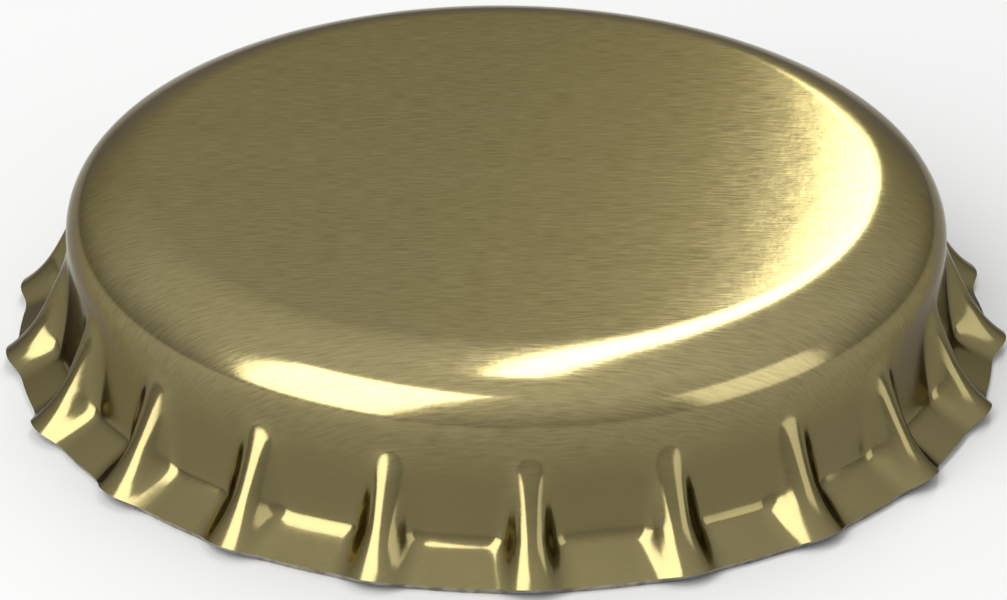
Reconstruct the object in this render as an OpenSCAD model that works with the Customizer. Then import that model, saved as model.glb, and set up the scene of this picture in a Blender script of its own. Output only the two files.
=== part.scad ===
// Crown cap: a shell pressed from one disc of tinplate, with a fluted skirt,
// and the sealing liner that is moulded under its top.
// Origin: centre of the plane that the rim stands on, with the top of the cap up (+Z).

/* [Shell] */
// Diameter across the tips of the flutes
flare_d = 31.9; // [31.4:0.1:33]
// Inside diameter of the plain wall, which slides over the bottle's lip
bore_d = 27.2; // [26.6:0.05:27.8]
// Height from the rim to the top face
cap_h = 6.25; // [6:0.05:7]
// Thickness of the sheet
sheet_t = 0.24; // [0.18:0.01:0.3]
// Outside radius of the shoulder between the top and the wall
shoulder_r = 2.0; // [1.2:0.1:2.2]
// Height of the plain wall between the shoulder's curve and the flutes
plain_h = 0.4; // [0.3:0.05:1]
// How far the skirt's sheet stands out from the wall's where it begins
skirt_step = 0.02; // [0.02:0.005:0.05]

/* [Flutes] */
// Number of flutes round the skirt
flute_n = 21; // [18:1:24]
// Height of a flute's tip above the plane that the rim stands on
tip_lift = 0.43; // [0.3:0.01:0.6]
// Width of a flute at the rim, from foot to foot, as a share of the pitch
flute_share = 0.64; // [0.5:0.01:0.75]
// Share of its width at the rim that a flute has where it begins
taper = 0.75; // [0.5:0.05:1]
// Steepest angle of a flute's flanks in its plain section
flank_angle = 60; // [50:1:64]
// Radius of the crest in that section, in half widths
crest_round = 0.38; // [0.25:0.01:0.5]
// Radius of the foot in that section, in half widths
foot_round = 0.5; // [0.3:0.01:0.6]
// Softness of the bend from the plain wall into a crest
crest_bend = 0.2; // [0.1:0.01:0.4]
// How much the crest curls outwards on its way to the tip
crest_flare = 0.5; // [0:0.05:0.6]

/* [Flange between the flutes] */
// How far the tips stand out past the flange's rim
flute_depth = 0.47; // [0.35:0.01:0.7]
// How far a panel leans out between the plain wall and the kink
panel_lean = 0.35; // [0.2:0.05:0.6]
// Softness of the bend from the plain wall into a panel
panel_bend = 0.3; // [0.1:0.05:0.5]
// Height of the kink
kink_z = 0.92; // [0.7:0.02:1.2]
// Softness of the kink
kink_bend = 0.1; // [0.05:0.01:0.12]

/* [Liner] */
// Gap between the liner's edge and the start of the shoulder's curve
liner_gap = 0.15; // [0.1:0.05:0.5]
// Thickness of the film in the middle
film_t = 0.25; // [0.15:0.05:0.4]
// Thickness of the sealing land that the lip presses on
land_t = 0.5; // [0.45:0.05:0.6]
// Width of the sealing land, from the liner's edge inwards
land_w = 3.6; // [2.4:0.1:4.6]
// Radius of the sealing bead
bead_r = 0.45; // [0.3:0.05:0.6]
// How far the bead stands proud of the land
bead_proud = 0.25; // [0.15:0.05:0.3]

/* [Hidden] */

// Facets of round shapes
$fn = 96;
// Rings down a panel and down the flange
panel_rings = 5;
flange_rings = 3;
// Overlap that keeps a cut clean, and how far the skirt's sheet runs up into the wall's
overlap = 0.05;

bore_r = bore_d / 2;
wall_r = bore_r + sheet_t;
top_under = cap_h - sheet_t;
skirt_r = wall_r + skirt_step;
flute_top = cap_h - shoulder_r - plain_h;
skirt_top = flute_top + overlap;
tip_r = flare_d / 2;
flange_r = tip_r - flute_depth;
kink_r = skirt_r + panel_lean;
liner_r = bore_r - (shoulder_r - sheet_t) - liner_gap;

// Share of the way down the skirt at which the kink lies, along the sheet
panel_len = norm([panel_lean, skirt_top - kink_z]);
flange_len = norm([flange_r - kink_r, kink_z]);
kink_at = panel_len / (panel_len + flange_len);

// Rings from the wall (0) to the rim (1), closer together round the kink
ring_at = concat(
    [for (i = [0:panel_rings - 1]) (kink_at - kink_bend) * i / panel_rings],
    [kink_at - kink_bend, kink_at, kink_at + kink_bend],
    [for (i = [1:flange_rings])
        kink_at + kink_bend + (1 - kink_at - kink_bend) * i / flange_rings]);
ring_n = len(ring_at);

// A flute's section in half widths: where the crest's arc passes into the straight flank, where
// the flank passes into the foot's arc, and how far each of them falls
flank_start = crest_round * sin(flank_angle);
foot_start = 1 - foot_round * sin(flank_angle);
crest_fall = arc_fall(flank_start, crest_round);
flank_fall = (foot_start - flank_start) * tan(flank_angle);
whole_fall = crest_fall + flank_fall + arc_fall(1 - foot_start, foot_round);

// Places of the columns from a crest to a foot, in half widths, and the columns of one pitch:
// both sides of the flute, its crest and the middle of the next panel
column_x = [0, flank_start / 2, flank_start, foot_start, (foot_start + 1) / 2, 1];
column_n = 2 * len(column_x);
columns = flute_n * column_n;
pitch = 360 / flute_n;

// How far a circle has fallen away from its top at x to the side
function arc_fall(x, r) = r - sqrt(r * r - x * x);

// How far a flute's section has fallen from its crest
function flute_fall(x) =
    x < flank_start ? arc_fall(x, crest_round)
    : x < foot_start ? crest_fall + (x - flank_start) * tan(flank_angle)
    : whole_fall - arc_fall(1 - x, foot_round);

// 0 to 1, with a level start that then runs straight
function bend_in(x, soft) = (sqrt(x * x + soft * soft) - soft) / (sqrt(1 + soft * soft) - soft);

// Nothing below 0 and x above it, with a soft corner
function soft_ramp(x, soft) = (x + sqrt(x * x + soft * soft)) / 2;

// How far the soft ramp at the kink has risen, from 0 at the wall to 1 at the rim
function past_kink(s) =
    let (start = soft_ramp(-kink_at, kink_bend), end = soft_ramp(1 - kink_at, kink_bend))
    (soft_ramp(s - kink_at, kink_bend) - start) / (end - start);

// [radius, height] of the sheet's outer face along a crest and along the middle of a panel
function crest_point(s) =
    let (way = bend_in(s, crest_bend) + crest_flare * (s ^ 4 - s ^ 2))
    [skirt_r + (tip_r - skirt_r) * way, skirt_top + (tip_lift - skirt_top) * s];
function panel_point(s, lift) =
    let (lean = panel_lean / kink_at, drop = (skirt_top - kink_z) / kink_at,
         out = flange_r - skirt_r - lean, rise = drop - skirt_top + lift)
    [skirt_r + lean * bend_in(s, panel_bend) + out * past_kink(s),
     skirt_top - drop * s + rise * past_kink(s)];

// Half width of a flute, in pitches
function half_width(s) = flute_share / 2 * (taper + (1 - taper) * s);

// Distance from the crest in pitches, for column k of a pitch
function column_at(k, s) =
    let (m = k + 1 - len(column_x), n = abs(m))
    n < len(column_x) ? sign(m) * column_x[n] * half_width(s) : 0.5;

// Point of the outer face: s down the skirt, f in pitches from a crest
function face_point(s, f, lift) =
    let (p = panel_point(s, lift), c = crest_point(s),
         w = 1 - flute_fall(min(abs(f - round(f)) / half_width(s), 1)) / whole_fall,
         r = p[0] + w * (c[0] - p[0]), z = p[1] + w * (c[1] - p[1]))
    [r * cos(f * pitch), r * sin(f * pitch), z];

// Outward direction of the outer face there; it is level at the plain wall
function face_normal(s, f, lift) =
    let (d = 0.002,
         down = face_point(min(s + d, 1), f, lift) - face_point(max(s - d, 0), f, lift),
         round_way = face_point(s, f + d, lift) - face_point(s, f - d, lift),
         n = cross(round_way, -down))
    s == 0 ? [cos(f * pitch), sin(f * pitch), 0] : n / norm(n);

function under_point(s, f, lift) = face_point(s, f, lift) - sheet_t * face_normal(s, f, lift);

// The flange's upper edge lies as high as brings its lower edge down to the plane of the rim
rim_lift = 0 - under_point(1, 0.5, 0)[2];
rim_trim = 0 - under_point(1, 0.5, rim_lift)[2];
flange_lift = rim_lift + rim_trim;

function column_f(j, s) = floor(j / column_n) + column_at(j % column_n, s);

skirt_points = concat(
    [for (s = ring_at) for (j = [0:columns - 1]) face_point(s, column_f(j, s), flange_lift)],
    [for (s = ring_at) for (j = [0:columns - 1]) under_point(s, column_f(j, s), flange_lift)]);

// The four-sided cell between rings i and k and columns j and j + 1, as two triangles
function cell(i, k, j) =
    let (a = i * columns + j, b = i * columns + (j + 1) % columns,
         c = k * columns + (j + 1) % columns, d = k * columns + j)
    [[a, c, b], [a, d, c]];

skirt_faces = [for (j = [0:columns - 1]) each concat(
    [for (i = [0:ring_n - 2]) each cell(i + 1, i, j)],
    [for (i = [ring_n:2 * ring_n - 2]) each cell(i, i + 1, j)],
    cell(2 * ring_n - 1, ring_n - 1, j),
    cell(0, ring_n, j))];

// Half section of a cup: wall radius r, height h, and a round corner between wall and top
module cup_section(r, h, corner, foot) {
    translate([0, foot]) square([r, h - corner - foot]);
    translate([0, foot]) square([r - corner, h - foot]);
    translate([r - corner, h - corner]) intersection() {
        circle(corner);
        square(corner);
    }
}

// Top, shoulder and plain wall
module crown_top() {
    rotate_extrude() difference() {
        cup_section(wall_r, cap_h, shoulder_r, flute_top);
        cup_section(bore_r, top_under, shoulder_r - sheet_t, flute_top - overlap);
    }
}

// The fluted skirt, one sheet of even thickness
module fluted_skirt() {
    polyhedron(skirt_points, skirt_faces, convexity = 8);
}

module shell() {
    color([0.55, 0.5, 0.3]) union() {
        crown_top();
        fluted_skirt();
    }
}

module liner() {
    color([0.86, 0.86, 0.82]) rotate_extrude() {
        translate([0, top_under - film_t]) square([liner_r, film_t]);
        translate([liner_r - land_w, top_under - land_t]) square([land_w, land_t]);
        translate([liner_r - land_w / 2, top_under - land_t - bead_proud + bead_r])
            intersection() {
                circle(bead_r);
                translate([-bead_r, -bead_r]) square([2 * bead_r, bead_r]);
            }
    }
}

shell();
liner();
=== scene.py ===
"""Looks of the crown cap: the pressed, lacquered shell and the liner moulded inside it."""

from __future__ import annotations

import logging
import math
from dataclasses import dataclass, field
from enum import Enum

import bpy
import numpy as np
from mathutils import Matrix, Vector

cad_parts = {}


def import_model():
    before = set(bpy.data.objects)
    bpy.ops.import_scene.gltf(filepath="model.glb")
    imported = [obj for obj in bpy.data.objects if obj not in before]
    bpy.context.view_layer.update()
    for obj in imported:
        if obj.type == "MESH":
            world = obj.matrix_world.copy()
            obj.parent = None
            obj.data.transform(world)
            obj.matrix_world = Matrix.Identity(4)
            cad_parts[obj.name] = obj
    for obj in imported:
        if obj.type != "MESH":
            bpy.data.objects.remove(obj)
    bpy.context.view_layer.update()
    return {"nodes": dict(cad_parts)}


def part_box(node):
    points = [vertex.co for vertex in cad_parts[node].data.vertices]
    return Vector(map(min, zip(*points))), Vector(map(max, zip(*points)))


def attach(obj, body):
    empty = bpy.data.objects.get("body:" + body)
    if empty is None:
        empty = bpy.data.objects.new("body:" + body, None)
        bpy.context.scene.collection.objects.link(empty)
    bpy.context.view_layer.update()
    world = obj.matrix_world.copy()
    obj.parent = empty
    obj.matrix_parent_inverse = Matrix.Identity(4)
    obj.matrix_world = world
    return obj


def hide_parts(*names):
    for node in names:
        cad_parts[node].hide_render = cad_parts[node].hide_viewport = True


LOG = logging.getLogger("crown_cap")
MM = 0.001
UP = Vector((0.0, 0.0, 1.0))
BLANK_MAP = "blank_mm"
Colour = tuple[float, float, float]
Span = tuple[float, float]
Feed = float | Colour | bpy.types.NodeSocket


class SheetSide(Enum):
    """The surfaces of the pressed sheet, by the material slot that each one takes."""

    OUTSIDE = 0
    INSIDE = 1
    CUT_EDGE = 2


class LampName(Enum):
    """The soft lamps of the studio."""

    KEY = "lamp_front_left"
    BACK = "lamp_back_right"
    SIDE = "lamp_front_right"


def bend_in(x: np.ndarray, soft: float) -> np.ndarray:
    """Takes x from 0 to 1 with a level start, as long as soft says, that then runs straight."""
    return (np.sqrt(x * x + soft * soft) - soft) / (math.sqrt(1.0 + soft * soft) - soft)


def arc_fall(x: np.ndarray | float, radius: float) -> np.ndarray | float:
    """Gives how far a circle has fallen away from its top at the distance x to the side."""
    return radius - np.sqrt(radius * radius - np.minimum(x, radius) ** 2)


def soft_ramp(x: np.ndarray | float, soft: float) -> np.ndarray | float:
    """Gives nothing below 0 and x above it, with a corner of the size soft."""
    return (x + np.sqrt(x * x + soft * soft)) / 2.0


def direction(azimuth: float, elevation: float) -> Vector:
    """Gives the unit vector towards an angle round from +X and an angle up from level, in degrees."""
    turn, rise = math.radians(azimuth), math.radians(elevation)
    return Vector((math.cos(rise) * math.cos(turn), math.cos(rise) * math.sin(turn), math.sin(rise)))


# ---------------------------------------------------------------- materials


class NodeSheet:
    """A material's node tree, with short calls for the nodes that the finishes use."""

    def __init__(self, name: str) -> None:
        """Starts an empty material.

        Args:
            name: The material's name.
        """
        self.material = bpy.data.materials.new(name)
        self.material.use_nodes = True
        self.tree = self.material.node_tree
        self.tree.nodes.clear()
        self.output = self.tree.nodes.new("ShaderNodeOutputMaterial")

    def node(self, kind: str, **settings: str | bool) -> bpy.types.Node:
        """Adds a node and sets its properties.

        Args:
            kind: The node's type.
            settings: Properties of the node.

        Returns:
            The node.
        """
        new = self.tree.nodes.new(kind)
        for key, value in settings.items():
            setattr(new, key, value)
        return new

    def join(self, source: bpy.types.NodeSocket, target: bpy.types.NodeSocket) -> None:
        """Links two sockets."""
        self.tree.links.new(source, target)

    def combine(self, operation: str, a: Feed, b: Feed) -> bpy.types.NodeSocket:
        """Adds a math node.

        Args:
            operation: Name of the operation.
            a: First input, a number or a socket.
            b: Second input, a number or a socket.

        Returns:
            The result's socket.
        """
        new = self.node("ShaderNodeMath", operation=operation)
        self._feed(new.inputs[0], a)
        self._feed(new.inputs[1], b)
        return new.outputs[0]

    def spread(self, value: bpy.types.NodeSocket, low: float, high: float,
               to_low: float = 0.0, to_high: float = 1.0) -> bpy.types.NodeSocket:
        """Maps a range softly to another, held at its ends.

        Args:
            value: The input.
            low: Input that gives to_low.
            high: Input that gives to_high.
            to_low: Lowest result.
            to_high: Highest result.

        Returns:
            The result's socket.
        """
        new = self.node("ShaderNodeMapRange", clamp=True, interpolation_type="SMOOTHSTEP")
        for socket, number in zip(new.inputs[1:5], (low, high, to_low, to_high)):
            socket.default_value = number
        self.join(value, new.inputs[0])
        return new.outputs[0]

    def blend(self, amount: Feed, a: Feed, b: Feed) -> bpy.types.NodeSocket:
        """Mixes two colours.

        Args:
            amount: How much of b, a number or a socket.
            a: First colour or socket.
            b: Second colour or socket.

        Returns:
            The mixed colour's socket.
        """
        new = self.node("ShaderNodeMix", data_type="RGBA")
        self._feed(new.inputs[0], amount)
        self._feed(new.inputs[6], a)
        self._feed(new.inputs[7], b)
        return new.outputs[2]

    def noise(self, place: bpy.types.NodeSocket, scale: float, detail: float,
              rough: float = 0.5) -> bpy.types.NodeSocket:
        """Adds a noise texture.

        Args:
            place: Where it is read.
            scale: Its fineness.
            detail: Its octaves.
            rough: How strong the fine octaves are.

        Returns:
            The value's socket.
        """
        new = self.node("ShaderNodeTexNoise")
        self.join(place, new.inputs["Vector"])
        new.inputs["Scale"].default_value = scale
        new.inputs["Detail"].default_value = detail
        new.inputs["Roughness"].default_value = rough
        return new.outputs[0]

    def stretched(self, place: bpy.types.NodeSocket, size: tuple[float, float, float],
                  turn: float = 0.0) -> bpy.types.NodeSocket:
        """Turns and scales a position, so that a texture is drawn out along the grain.

        Args:
            place: The position.
            size: Scale along each axis.
            turn: Turn about Z in degrees.

        Returns:
            The new position's socket.
        """
        turned = self.node("ShaderNodeMapping", vector_type="POINT")
        turned.inputs["Rotation"].default_value = (0.0, 0.0, math.radians(turn))
        self.join(place, turned.inputs["Vector"])
        scaled = self.node("ShaderNodeVectorMath", operation="MULTIPLY")
        self.join(turned.outputs[0], scaled.inputs[0])
        scaled.inputs[1].default_value = size
        return scaled.outputs[0]

    def bump(self, height: bpy.types.NodeSocket, depth: float,
             under: bpy.types.NodeSocket | None = None) -> bpy.types.NodeSocket:
        """Adds a bump.

        Args:
            height: Height from 0 to 1.
            depth: What a height of 1 stands for, in millimetres.
            under: Another bump's normal, below this one.

        Returns:
            The normal's socket.
        """
        new = self.node("ShaderNodeBump")
        new.inputs["Distance"].default_value = depth * MM
        self.join(height, new.inputs["Height"])
        if under is not None:
            self.join(under, new.inputs["Normal"])
        return new.outputs[0]

    def shader(self, **values: Feed) -> None:
        """Adds the surface shader, sets its named sockets and links it to the output.

        Args:
            values: Socket names, with _ for a space, and their numbers, colours or sockets.
        """
        new = self.node("ShaderNodeBsdfPrincipled")
        for key, value in values.items():
            self._feed(new.inputs[key.replace("_", " ")], value)
        self.join(new.outputs[0], self.output.inputs["Surface"])

    def _feed(self, socket: bpy.types.NodeSocket, value: Feed) -> None:
        """Gives a socket a link, a colour or a number.

        Args:
            socket: The input socket.
            value: What it gets.
        """
        if isinstance(value, bpy.types.NodeSocket):
            self.join(value, socket)
        elif socket.type == "RGBA":
            socket.default_value = (*value, 1.0)
        else:
            socket.default_value = value


@dataclass(frozen=True)
class LacqueredTinplate:
    """Gold-toned lacquer over rolled tinplate.

    The rolling grain runs along X of the flat blank, and follows the sheet where it was drawn. Lengths are
    in millimetres. A zone gives two distances from the blank's middle, and a band two values of the noise,
    between which its effect sets in.
    """

    tone: Colour = (0.208, 0.172, 0.068)
    pale: Colour = (0.275, 0.234, 0.11)
    dark: Colour = (0.132, 0.108, 0.038)
    grazing: Colour = (0.31, 0.27, 0.15)
    roughness: float = 0.14
    drawn_roughness: float = 0.17
    drawn_zone: Span = (13.2, 14.8)
    grain_length: float = 0.75
    grain_width: float = 0.075
    grain_turn: float = -3.0
    grain_octaves: float = 3.0
    grain_harshness: float = 0.6
    grain_depth: float = 0.0003
    pale_grain: float = 0.55
    pale_band: Span = (0.42, 0.72)
    dark_grain: float = 0.5
    dark_band: Span = (0.5, 0.28)
    rough_band: Span = (0.25, 0.75)
    rough_swing: Span = (-0.02, 0.03)
    wander: float = 0.16
    wander_length: float = 5.0
    cloud_fineness: tuple[float, float, float] = (0.12, 0.5, 1.0)
    cloud_share: float = 0.18
    cloud_band: Span = (0.3, 0.7)
    # Painted shade: across this zone the wall and skirt are darkened by this share towards the dark tone
    painted_shade_zone: Span = (14.3, 16.6)
    painted_skirt_shade: float = 0.85
    orange_peel: float = 0.0034
    peel_fineness: float = 1.3
    pitting: float = 0.0008
    pit_fineness: float = 6.0
    coat: float = 0.45
    coat_roughness: float = 0.15

    def build(self) -> bpy.types.Material:
        """Makes the material.

        Returns:
            The material.
        """
        sheet = NodeSheet("lacquered_tinplate")
        blank = sheet.node("ShaderNodeUVMap", uv_map=BLANK_MAP).outputs[0]
        place = self._wandering(sheet, blank)
        along = (1.0 / self.grain_length, 1.0 / self.grain_width, 1.0)
        grain = self._rolled(sheet, place, along)
        length = sheet.node("ShaderNodeVectorMath", operation="LENGTH")
        sheet.join(blank, length.inputs[0])
        from_middle = length.outputs["Value"]
        drawn = sheet.spread(from_middle, *self.drawn_zone, self.roughness, self.drawn_roughness)
        rough = sheet.combine("ADD", drawn, sheet.spread(grain, *self.rough_band, *self.rough_swing))
        normal = self._relief(sheet, blank, grain)
        sheet.shader(Base_Color=self._colour(sheet, place, grain, from_middle), Metallic=1.0,
                     Roughness=rough, Normal=normal, Specular_Tint=self.grazing, Coat_Weight=self.coat,
                     Coat_Roughness=self.coat_roughness, Coat_Normal=normal)
        return sheet.material

    def _wandering(self, sheet: NodeSheet, blank: bpy.types.NodeSocket) -> bpy.types.NodeSocket:
        """Shifts the place on the blank a little to the side, so that the grain wanders.

        Args:
            sheet: The node tree.
            blank: Place on the flat blank.

        Returns:
            The shifted place's socket.
        """
        drift = sheet.noise(sheet.stretched(blank, (1.0 / self.wander_length,) * 3), 1.0, 2.0)
        # The noise strays by about a quarter from its middle value
        aside = sheet.combine("MULTIPLY", sheet.combine("SUBTRACT", drift, 0.5), self.wander * 4.0)
        shift = sheet.node("ShaderNodeCombineXYZ")
        sheet.join(aside, shift.inputs["Y"])
        place = sheet.node("ShaderNodeVectorMath", operation="ADD")
        sheet.join(blank, place.inputs[0])
        sheet.join(shift.outputs[0], place.inputs[1])
        return place.outputs[0]

    def _rolled(self, sheet: NodeSheet, place: bpy.types.NodeSocket,
                fineness: tuple[float, float, float]) -> bpy.types.NodeSocket:
        """Adds a noise that is drawn out the way the sheet was rolled."""
        drawn_out = sheet.stretched(place, fineness, self.grain_turn)
        return sheet.noise(drawn_out, 1.0, self.grain_octaves, self.grain_harshness)

    def _colour(self, sheet: NodeSheet, place: bpy.types.NodeSocket, grain: bpy.types.NodeSocket,
                from_middle: bpy.types.NodeSocket) -> bpy.types.NodeSocket:
        """Lays pale and dark grain and broad clouds over the lacquer's tone, and paints shade on the wall
        and skirt, darker from below the shoulder downwards.

        Args:
            sheet: The node tree.
            place: Wandering place on the flat blank.
            grain: The grain's value.
            from_middle: Distance from the blank's middle.

        Returns:
            The colour's socket.
        """
        cloud = self._rolled(sheet, place, self.cloud_fineness)
        layers = (
            (sheet.spread(grain, *self.pale_band), self.pale_grain, self.pale),
            (sheet.spread(grain, *self.dark_band), self.dark_grain, self.dark),
            (sheet.spread(cloud, *self.cloud_band), self.cloud_share, self.pale),
            # Painted shade: the wall and skirt are darkened towards the dark tone, from below the shoulder
            # downwards
            (sheet.spread(from_middle, *self.painted_shade_zone), self.painted_skirt_shade, self.dark),
        )
        colour = self.tone
        for amount, share, tone in layers:
            colour = sheet.blend(sheet.combine("MULTIPLY", amount, share), colour, tone)
        return colour

    def _relief(self, sheet: NodeSheet, blank: bpy.types.NodeSocket,
                grain: bpy.types.NodeSocket) -> bpy.types.NodeSocket:
        """Adds the lacquer's orange peel and pitting and the grain's fine furrows.

        Args:
            sheet: The node tree.
            blank: Place on the flat blank.
            grain: The grain's value.

        Returns:
            The normal's socket.
        """
        peel = sheet.bump(sheet.noise(blank, self.peel_fineness, 2.0), self.orange_peel)
        pits = sheet.bump(sheet.noise(blank, self.pit_fineness, 2.0), self.pitting, under=peel)
        return sheet.bump(grain, self.grain_depth, under=pits)


@dataclass(frozen=True)
class BareCutEdge:
    """Bare steel where the sheet was cut."""

    tone: Colour = (0.42, 0.4, 0.34)
    torn: Colour = (0.2, 0.18, 0.12)
    torn_band: Span = (0.35, 0.7)
    roughness: float = 0.35
    tear_fineness: float = 2500.0
    tear_depth: float = 0.01

    def build(self) -> bpy.types.Material:
        """Makes the material.

        Returns:
            The material.
        """
        sheet = NodeSheet("cut_edge")
        place = sheet.node("ShaderNodeTexCoord").outputs["Object"]
        tear = sheet.noise(place, self.tear_fineness, 3.0)
        colour = sheet.blend(sheet.spread(tear, *self.torn_band), self.tone, self.torn)
        sheet.shader(Base_Color=colour, Metallic=1.0, Roughness=self.roughness,
                     Normal=sheet.bump(tear, self.tear_depth))
        return sheet.material


@dataclass(frozen=True)
class SealingCompound:
    """The liner's soft moulded compound, off-white and slightly milky."""

    tone: Colour = (0.78, 0.78, 0.72)
    cloudy: Colour = (0.7, 0.7, 0.63)
    cloud_band: Span = (0.35, 0.7)
    cloud_fineness: float = 350.0
    smoothest: float = 0.36
    roughest: float = 0.5
    rough_band: Span = (0.3, 0.7)
    skin_fineness: float = 4000.0
    skin_depth: float = 0.006
    milkiness: float = 0.25
    milky_depth: tuple[float, float, float] = (0.6, 0.6, 0.5)

    def build(self) -> bpy.types.Material:
        """Makes the material.

        Returns:
            The material.
        """
        sheet = NodeSheet("sealing_compound")
        place = sheet.node("ShaderNodeTexCoord").outputs["Object"]
        cloud = sheet.noise(place, self.cloud_fineness, 4.0)
        colour = sheet.blend(sheet.spread(cloud, *self.cloud_band), self.tone, self.cloudy)
        skin = sheet.noise(place, self.skin_fineness, 2.0)
        rough = sheet.spread(skin, *self.rough_band, self.smoothest, self.roughest)
        sheet.shader(Base_Color=colour, Roughness=rough, Normal=sheet.bump(skin, self.skin_depth),
                     Subsurface_Weight=self.milkiness,
                     Subsurface_Radius=tuple(depth * MM for depth in self.milky_depth))
        return sheet.material


@dataclass(frozen=True)
class StudioPaper:
    """The pale floor's matt paper."""

    tone: Colour = (0.385, 0.385, 0.383)
    roughness: float = 0.9
    gloss: float = 0.2

    def build(self) -> bpy.types.Material:
        """Makes the material.

        Returns:
            The material.
        """
        sheet = NodeSheet("studio_paper")
        sheet.shader(Base_Color=self.tone, Roughness=self.roughness, Specular_IOR_Level=self.gloss)
        return sheet.material


# ---------------------------------------------------------------- meshes


def mesh_piece(name: str, points: np.ndarray, faces: list[tuple[int, ...]]) -> bpy.types.Object:
    """Makes a mesh object from points in millimetres.

    Args:
        name: The piece's name.
        points: One row per point.
        faces: Point numbers of each face.

    Returns:
        The object, in the scene.
    """
    mesh = bpy.data.meshes.new(name)
    mesh.from_pydata((points * MM).tolist(), [], faces)
    mesh.update()
    piece = bpy.data.objects.new(name, mesh)
    bpy.context.scene.collection.objects.link(piece)
    return piece


def wrap_faces(rings: int, columns: int, start: int = 0, flip: bool = False) -> list[tuple[int, ...]]:
    """Joins closed rings of points into a skin of quads.

    Args:
        rings: Number of rings.
        columns: Points in each ring.
        start: Number of the first point.
        flip: Whether the skin faces the other way.

    Returns:
        The quads.
    """
    quads = []
    for i in range(rings - 1):
        for j in range(columns):
            a, b = start + i * columns + j, start + i * columns + (j + 1) % columns
            c, d = b + columns, a + columns
            quads.append((a, b, c, d) if flip else (a, d, c, b))
    return quads


@dataclass
class CrownShell:
    """The pressed shell: crowned top, shoulder, plain wall and fluted skirt, as one bent sheet.

    Lengths are in millimetres and angles in degrees; the sizes across and up come from the frame. The top
    tilts by crowned_tilt out to crowned_r and from there by lead_tilt more until the shoulder's arc. No
    two flutes are quite alike: each lies aside by a share of the pitch, its crest and the panel beside it
    are pushed in, and its width swells, by no more than most_aside, most_pushed and most_swell. The rings
    of points begin at first_ring, a share of crowned_r, and crowd round the kink within kink_band.
    """

    tip_r: float
    height: float
    bore_r: float = 13.6
    sheet_t: float = 0.24
    shoulder_r: float = 1.6
    crowned_r: float = 11.2
    crowned_tilt: float = 0.9
    lead_tilt: float = 30.0
    skirt_top: float = 3.9
    flute_n: int = 21
    tip_lift: float = 0.43
    flute_share: float = 0.64
    crest_round: float = 0.38
    foot_round: float = 0.5
    flank_angle: float = 60.0
    taper: float = 0.75
    crest_bend: float = 0.13
    crest_flare: float = 0.5
    panel_bend: float = 0.3
    flute_depth: float = 0.47
    panel_lean: float = 0.35
    kink_z: float = 0.92
    kink_bend: float = 0.055
    flange_lift: float = 0.21
    most_aside: float = 0.016
    most_pushed: float = 0.09
    most_swell: float = 0.07
    seed: int = 26
    columns_per_flute: int = 28
    first_ring: float = 0.1
    crowned_rings: int = 7
    lead_rings: int = 13
    shoulder_rings: int = 17
    wall_rings: int = 5
    skirt_rings: int = 34
    kink_rings: int = 12
    kink_band: float = 0.07
    sharp_angle: float = 50.0
    wall_r: float = field(init=False)
    kink_at: float = field(init=False)
    aside: np.ndarray = field(init=False)
    pushed: np.ndarray = field(init=False)
    swell: np.ndarray = field(init=False)

    def __post_init__(self) -> None:
        """Works out the sizes that follow from the others, and each flute's own unevenness."""
        self.wall_r = self.bore_r + self.sheet_t
        flange_r = self.tip_r - self.flute_depth
        panel = math.hypot(self.panel_lean, self.skirt_top - self.kink_z)
        flange = math.hypot(flange_r - self.wall_r - self.panel_lean, self.kink_z)
        self.kink_at = panel / (panel + flange)
        chance = np.random.default_rng(self.seed)
        self.aside = chance.uniform(-self.most_aside, self.most_aside, self.flute_n)
        self.pushed = chance.uniform(-self.most_pushed, 0.0, self.flute_n)
        self.swell = chance.uniform(-self.most_swell, self.most_swell, self.flute_n)

    def past_kink(self, s: np.ndarray) -> np.ndarray:
        """Gives how far the bend at the kink has risen.

        Args:
            s: Share of the way down the skirt.

        Returns:
            0 at the wall to 1 at the rim.
        """
        start = soft_ramp(-self.kink_at, self.kink_bend)
        end = soft_ramp(1.0 - self.kink_at, self.kink_bend)
        return (soft_ramp(s - self.kink_at, self.kink_bend) - start) / (end - start)

    def crest_line(self, s: np.ndarray) -> tuple[np.ndarray, np.ndarray]:
        """Gives the sheet's outer face along a crest.

        Args:
            s: Share of the way down the skirt.

        Returns:
            Radius and height.
        """
        way = bend_in(s, self.crest_bend) + self.crest_flare * (s ** 4 - s ** 2)
        radius = self.wall_r + (self.tip_r - self.wall_r) * way
        return radius, self.skirt_top + (self.tip_lift - self.skirt_top) * s

    def panel_line(self, s: np.ndarray) -> tuple[np.ndarray, np.ndarray]:
        """Gives the sheet's outer face along the middle of a panel and of the flange below it.

        Args:
            s: Share of the way down the skirt.

        Returns:
            Radius and height.
        """
        lean = self.panel_lean / self.kink_at
        drop = (self.skirt_top - self.kink_z) / self.kink_at
        out = self.tip_r - self.flute_depth - self.wall_r - lean
        rise = drop - self.skirt_top + self.flange_lift
        past = self.past_kink(s)
        radius = self.wall_r + lean * bend_in(s, self.panel_bend) + out * past
        return radius, self.skirt_top - drop * s + rise * past

    def flute_fall(self, x: np.ndarray | float) -> np.ndarray:
        """Gives how far a flute's section falls from its crest: an arc, a straight flank and an arc.

        Args:
            x: Share of the way from the crest to the foot.

        Returns:
            The fall, in half widths of the flute.
        """
        x = np.minimum(x, 1.0)
        turn = math.radians(self.flank_angle)
        flank_start = self.crest_round * math.sin(turn)
        foot_start = 1.0 - self.foot_round * math.sin(turn)
        crest_fall = arc_fall(flank_start, self.crest_round)
        flank_fall = (foot_start - flank_start) * math.tan(turn)
        whole = crest_fall + flank_fall + arc_fall(1.0 - foot_start, self.foot_round)
        crest = arc_fall(x, self.crest_round)
        flank = crest_fall + (x - flank_start) * math.tan(turn)
        foot = whole - arc_fall(1.0 - x, self.foot_round)
        return np.where(x < flank_start, crest, np.where(x < foot_start, flank, foot))

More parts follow.
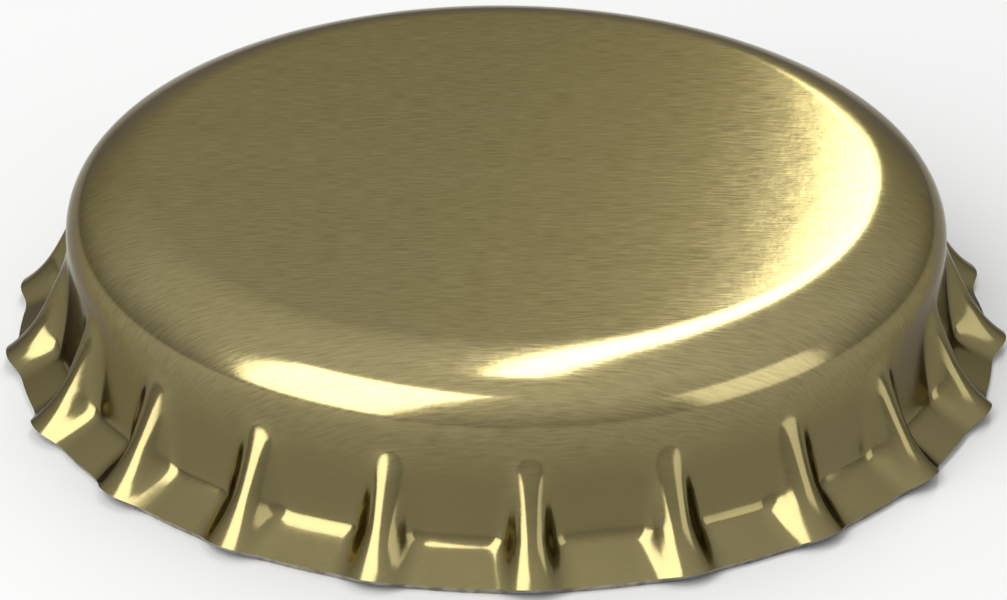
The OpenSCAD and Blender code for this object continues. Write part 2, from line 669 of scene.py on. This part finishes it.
    def skirt_face(self, s: np.ndarray, f: np.ndarray) -> np.ndarray:
        """Gives points of the skirt's outer face.

        Args:
            s: Share of the way down the skirt.
            f: Place round the skirt, in pitches from a crest.

        Returns:
            The points, one row each, in the shape of s and f together.
        """
        s, f = np.broadcast_arrays(s, f)
        crest_r, crest_z = self.crest_line(s)
        panel_r, panel_z = self.panel_line(s)
        flute = np.round(f).astype(int) % self.flute_n
        half = self.flute_share / 2.0 * (self.taper + (1.0 - self.taper) * s) * (1.0 + self.swell[flute])
        from_crest = np.abs(f - np.round(f) - self.aside[flute] * s)
        on_crest = 1.0 - self.flute_fall(from_crest / half) / self.flute_fall(1.0)
        crest_r = crest_r + self.pushed[flute] * s ** 2
        panel = np.floor(f).astype(int) % self.flute_n
        across = np.sin((f - np.floor(f)) * math.pi) ** 2
        hollow = across * np.sin(np.minimum(s / self.kink_at, 1.0) * math.pi)
        radius = panel_r + self.pushed[panel] * hollow + on_crest * (crest_r - panel_r)
        height = panel_z + on_crest * (crest_z - panel_z)
        angle = f * (2.0 * math.pi / self.flute_n)
        return np.stack([radius * np.cos(angle), radius * np.sin(angle), height], axis=-1)

    def skirt_normal(self, s: np.ndarray, f: np.ndarray) -> np.ndarray:
        """Gives the outward direction of the skirt's outer face.

        Args:
            s: Share of the way down the skirt.
            f: Place round the skirt, in pitches from a crest.

        Returns:
            Unit vectors.
        """
        step = 0.002
        down = self.skirt_face(np.minimum(s + step, 1.0), f) - self.skirt_face(np.maximum(s - step, 0.0), f)
        round_way = self.skirt_face(s, f + step) - self.skirt_face(s, f - step)
        normal = np.cross(round_way, -down)
        return normal / np.linalg.norm(normal, axis=-1, keepdims=True)

    def top_rings(self) -> list[tuple[float, float, float, float]]:
        """Works out the section of the top: hardly crowned, then a lead-in, then the shoulder's arc.

        Returns:
            Radius, height and outward direction of each ring, from the middle to the wall.
        """
        crowned, lead = math.radians(self.crowned_tilt), math.radians(self.lead_tilt)
        arc_start = self.wall_r - self.shoulder_r * (1.0 - math.sin(crowned + lead))
        radii = np.concatenate([np.linspace(self.first_ring, 1.0, self.crowned_rings) * self.crowned_r,
                                np.linspace(self.crowned_r, arc_start, self.lead_rings)[1:]])
        past = np.clip((radii - self.crowned_r) / (arc_start - self.crowned_r), 0.0, 1.0)
        tilts = crowned * np.minimum(radii / self.crowned_r, 1.0) + lead * past
        slopes = np.tan(tilts)
        falls = np.concatenate([[0.0], np.cumsum(np.diff(radii) * (slopes[1:] + slopes[:-1]) / 2.0)])
        rings = [(r, self.height - fall, math.sin(tilt), math.cos(tilt))
                 for r, fall, tilt in zip(radii, falls, tilts)]
        arc_middle = rings[-1][1] - self.shoulder_r * math.cos(tilts[-1])
        for turn in np.linspace(tilts[-1], math.pi / 2.0, self.shoulder_rings)[1:]:
            rings.append((self.wall_r - self.shoulder_r * (1.0 - math.sin(turn)),
                          arc_middle + self.shoulder_r * math.cos(turn), math.sin(turn), math.cos(turn)))
        return rings

    def faces_in_rings(self) -> tuple[np.ndarray, np.ndarray, np.ndarray]:
        """Works out the outer face from the top's middle to the rim.

        Returns:
            Points, outward directions and flat-blank places, each by ring and column.
        """
        f = np.arange(self.flute_n * self.columns_per_flute) / self.columns_per_flute
        angle = f * (2.0 * math.pi / self.flute_n)
        level = np.stack([np.cos(angle), np.sin(angle), np.zeros(len(f))], -1)
        upright = np.array(UP)
        rings = self.top_rings()
        wall_heights = np.linspace(rings[-1][1], self.skirt_top, self.wall_rings)
        rings += [(self.wall_r, z, 1.0, 0.0) for z in wall_heights[1:-1]]
        points = [radius * level + z * upright for radius, z, _, _ in rings]
        normals = [out * level + up * upright for _, _, out, up in rings]
        near_kink = self.kink_at + np.linspace(-self.kink_band, self.kink_band, self.kink_rings)
        for s in np.sort(np.concatenate([np.linspace(0.0, 1.0, self.skirt_rings), near_kink])):
            points.append(self.skirt_face(s, f))
            normals.append(level if s == 0.0 else self.skirt_normal(s, f))
        place = np.array(points)
        steps = np.linalg.norm(np.diff(place, axis=0), axis=-1)
        first = rings[0][0]
        path = np.concatenate([np.full((1, len(f)), first), first + np.cumsum(steps, axis=0)])
        blank = np.stack([path * np.cos(angle), path * np.sin(angle)], -1)
        return place, np.array(normals), blank

    def build(self) -> bpy.types.Object:
        """Makes the shell as one closed sheet with its cut edge.

        Returns:
            The shell.
        """
        place, out, blank = self.faces_in_rings()
        rings, columns = place.shape[:2]
        inside = place - out * self.sheet_t
        middle_top = np.array([[0.0, 0.0, self.height], [0.0, 0.0, self.height - self.sheet_t]])
        points = np.concatenate([place.reshape(-1, 3), inside.reshape(-1, 3), middle_top])
        skin = rings * columns
        faces = wrap_faces(rings, columns)
        sides = [SheetSide.OUTSIDE] * len(faces)
        faces += wrap_faces(rings, columns, skin, flip=True)
        sides += [SheetSide.INSIDE] * (len(faces) - len(sides))
        top, under, last = 2 * skin, 2 * skin + 1, (rings - 1) * columns
        for j in range(columns):
            k = (j + 1) % columns
            edge = (last + j, skin + last + j, skin + last + k, last + k)
            faces += [(top, j, k), (under, skin + k, skin + j), edge]
            sides += [SheetSide.OUTSIDE, SheetSide.INSIDE, SheetSide.CUT_EDGE]
        piece = mesh_piece("crown_shell", points, faces)
        flat = np.concatenate([blank.reshape(-1, 2), blank.reshape(-1, 2), np.zeros((2, 2))])
        self._lay_out_blank(piece.data, flat)
        piece.data.polygons.foreach_set("material_index", [side.value for side in sides])
        piece.data.shade_smooth()
        piece.data.set_sharp_from_angle(angle=math.radians(self.sharp_angle))
        return piece

    @staticmethod
    def _lay_out_blank(mesh: bpy.types.Mesh, flat: np.ndarray) -> None:
        """Keeps where each point lay on the flat blank, for the grain.

        Args:
            mesh: The shell's mesh.
            flat: Place of each point on the blank, in millimetres.
        """
        layer = mesh.uv_layers.new(name=BLANK_MAP)
        corners = np.zeros(len(mesh.loops), dtype=np.int32)
        mesh.loops.foreach_get("vertex_index", corners)
        layer.data.foreach_set("uv", flat[corners].astype(np.float32).ravel())

    @staticmethod
    def dress(piece: bpy.types.Object) -> None:
        """Gives the shell its finishes, rides it and puts it in the place of its CAD solid.

        Args:
            piece: The shell.
        """
        lacquer = LacqueredTinplate().build()
        for material in (lacquer, lacquer, BareCutEdge().build()):
            piece.data.materials.append(material)
        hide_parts("shell")
        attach(piece, "root")


@dataclass
class SealingLiner:
    """The moulded liner, which keeps its CAD solid and takes the compound's finish."""

    solid: bpy.types.Object
    sharp_angle: float = 35.0

    def dress(self) -> None:
        """Gives the liner its finish."""
        self.solid.data.materials.clear()
        self.solid.data.materials.append(SealingCompound().build())
        self.solid.data.shade_smooth()
        self.solid.data.set_sharp_from_angle(angle=math.radians(self.sharp_angle))


# ---------------------------------------------------------------- studio


@dataclass(frozen=True)
class SoftLamp:
    """A soft rectangular lamp, placed by direction from the cap.

    Lengths are in cap diameters, angles in degrees. The lean turns the lamp about its own axis.
    """

    name: LampName
    azimuth: float
    elevation: float
    width: float
    height: float
    radiance: float
    distance: float = 9.0
    lean: float = 0.0


@dataclass(frozen=True)
class CameraView:
    """Where the camera stands and how it frames the cap.

    The azimuth runs from the cap's front (-Y) towards +X. The aim and the distance are in the cap's
    millimetres, the sensor and the lens in the camera's, the clipping in metres and the angles in degrees.
    """

    elevation: float = 27.91
    azimuth: float = 1.17
    roll: float = 0.55
    distance: float = 149.5
    aim_height: float = 3.0
    sensor: float = 36.0
    lens: float = 168.9
    shift: Span = (-0.0026, -0.0446)
    clipping: Span = (0.01, 50.0)


@dataclass
class Studio:
    """Floor, lamps, surroundings and camera, all sized from the cap.

    The surroundings rise to the overhead strength at the zenith. In front of the cap the facing strength
    comes on top, and sets in between the two values of facing_from on the sky's Y axis. The floor's radius
    is in cap diameters.
    """

    diameter: float
    height: float
    floor_r: float = 40.0
    floor_sides: int = 96
    lamps: tuple[SoftLamp, ...] = (
        SoftLamp(LampName.KEY, azimuth=-135.5, elevation=37.5, width=7.0, height=11.0, radiance=6.3),
        SoftLamp(LampName.BACK, azimuth=79.4, elevation=52.0, width=1.35, height=11.2, radiance=10.5,
                 lean=0.5),
        SoftLamp(LampName.SIDE, azimuth=-24.0, elevation=17.0, width=5.8, height=5.2, radiance=2.1),
    )
    surroundings: float = 0.43
    overhead: float = 1.4
    facing: float = 0.25
    facing_from: Span = (0.2, -1.0)

    def build_floor(self) -> bpy.types.Object:
        """Makes the floor as a large round sheet of paper that the rim stands on.

        Returns:
            The floor.
        """
        radius = self.floor_r * self.diameter / MM
        turns = np.arange(self.floor_sides) * (2.0 * math.pi / self.floor_sides)
        ring = np.stack([radius * np.cos(turns), radius * np.sin(turns), np.zeros(self.floor_sides)], -1)
        floor = mesh_piece("floor", ring, [tuple(range(self.floor_sides))])
        floor.data.materials.append(StudioPaper().build())
        return floor

    def surround(self) -> bpy.types.World:
        """Sets the surroundings that the cap mirrors.

        Returns:
            The world.
        """
        world = bpy.data.worlds.new("surroundings")
        world.use_nodes = True
        nodes, links = world.node_tree.nodes, world.node_tree.links
        way = nodes.new("ShaderNodeSeparateXYZ")
        links.new(nodes.new("ShaderNodeTexCoord").outputs["Generated"], way.inputs[0])
        rise = nodes.new("ShaderNodeMapRange")
        rise.inputs["To Min"].default_value = self.surroundings
        rise.inputs["To Max"].default_value = self.overhead
        links.new(way.outputs["Z"], rise.inputs["Value"])
        front = nodes.new("ShaderNodeMapRange")
        front.inputs["From Min"].default_value = self.facing_from[0]
        front.inputs["From Max"].default_value = self.facing_from[1]
        front.inputs["To Max"].default_value = self.facing
        links.new(way.outputs["Y"], front.inputs["Value"])
        both = nodes.new("ShaderNodeMath")
        links.new(rise.outputs[0], both.inputs[0])
        links.new(front.outputs[0], both.inputs[1])
        links.new(both.outputs[0], nodes["Background"].inputs["Strength"])
        nodes["Background"].inputs["Color"].default_value = (1.0, 1.0, 1.0, 1.0)
        bpy.context.scene.world = world
        return world

    def hang(self, lamp: SoftLamp) -> bpy.types.Object:
        """Hangs one lamp, aimed at the cap.

        Args:
            lamp: The lamp.

        Returns:
            The lamp's object.
        """
        data = bpy.data.lights.new(lamp.name.value, type="AREA")
        data.shape = "RECTANGLE"
        data.size = lamp.width * self.diameter
        data.size_y = lamp.height * self.diameter
        data.energy = lamp.radiance * math.pi * data.size * data.size_y
        way = direction(lamp.azimuth, lamp.elevation)
        piece = bpy.data.objects.new(lamp.name.value, data)
        piece.location = UP * (self.height / 2.0) + way * lamp.distance * self.diameter
        turn = way.to_track_quat("Z", "Y").to_matrix() @ Matrix.Rotation(math.radians(lamp.lean), 3, "Z")
        piece.rotation_euler = turn.to_euler()
        bpy.context.scene.collection.objects.link(piece)
        return piece

    @staticmethod
    def place_camera(view: CameraView) -> bpy.types.Object:
        """Stands the camera at its viewing angle.

        Args:
            view: The angle, distance and framing.

        Returns:
            The camera.
        """
        data = bpy.data.cameras.new("camera")
        data.sensor_fit = "HORIZONTAL"
        data.sensor_width = view.sensor
        data.lens = view.lens
        data.shift_x, data.shift_y = view.shift
        data.clip_start, data.clip_end = view.clipping
        back = direction(view.azimuth - 90.0, view.elevation)
        right = UP.cross(back).normalized()
        upright = Matrix((right, back.cross(right), back)).transposed()
        roll = Matrix.Rotation(math.radians(view.roll), 3, "Z")
        stand = Matrix.Translation(UP * (view.aim_height * MM) + back * (view.distance * MM))
        camera = bpy.data.objects.new("camera", data)
        camera.matrix_world = stand @ (upright @ roll).to_4x4()
        bpy.context.scene.collection.objects.link(camera)
        bpy.context.scene.camera = camera
        return camera


def main() -> None:
    """Builds the cap's looks and its studio in order."""
    logging.basicConfig(level=logging.INFO, format="%(name)s: %(message)s")
    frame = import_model()
    bpy.context.scene.view_settings.view_transform = "Standard"
    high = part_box("shell")[1]

    shell = CrownShell(tip_r=high.x / MM, height=high.z / MM)
    shell_piece = shell.build()
    shell.dress(shell_piece)
    LOG.info("shell: %d flutes, %d faces", shell.flute_n, len(shell_piece.data.polygons))

    liner = SealingLiner(frame["nodes"]["liner"])
    liner.dress()
    LOG.info("liner: %d faces", len(liner.solid.data.polygons))

    studio = Studio(diameter=2.0 * high.x, height=high.z)
    floor = studio.build_floor()
    LOG.info("floor: %.2f m across", floor.dimensions.x)
    for lamp in studio.lamps:
        LOG.info("lamp: %s", studio.hang(lamp).name)
    LOG.info("world: %s", studio.surround().name)
    camera = studio.place_camera(CameraView())
    LOG.info("camera: %.0f mm lens", camera.data.lens)


if __name__ == "__main__":
    main()
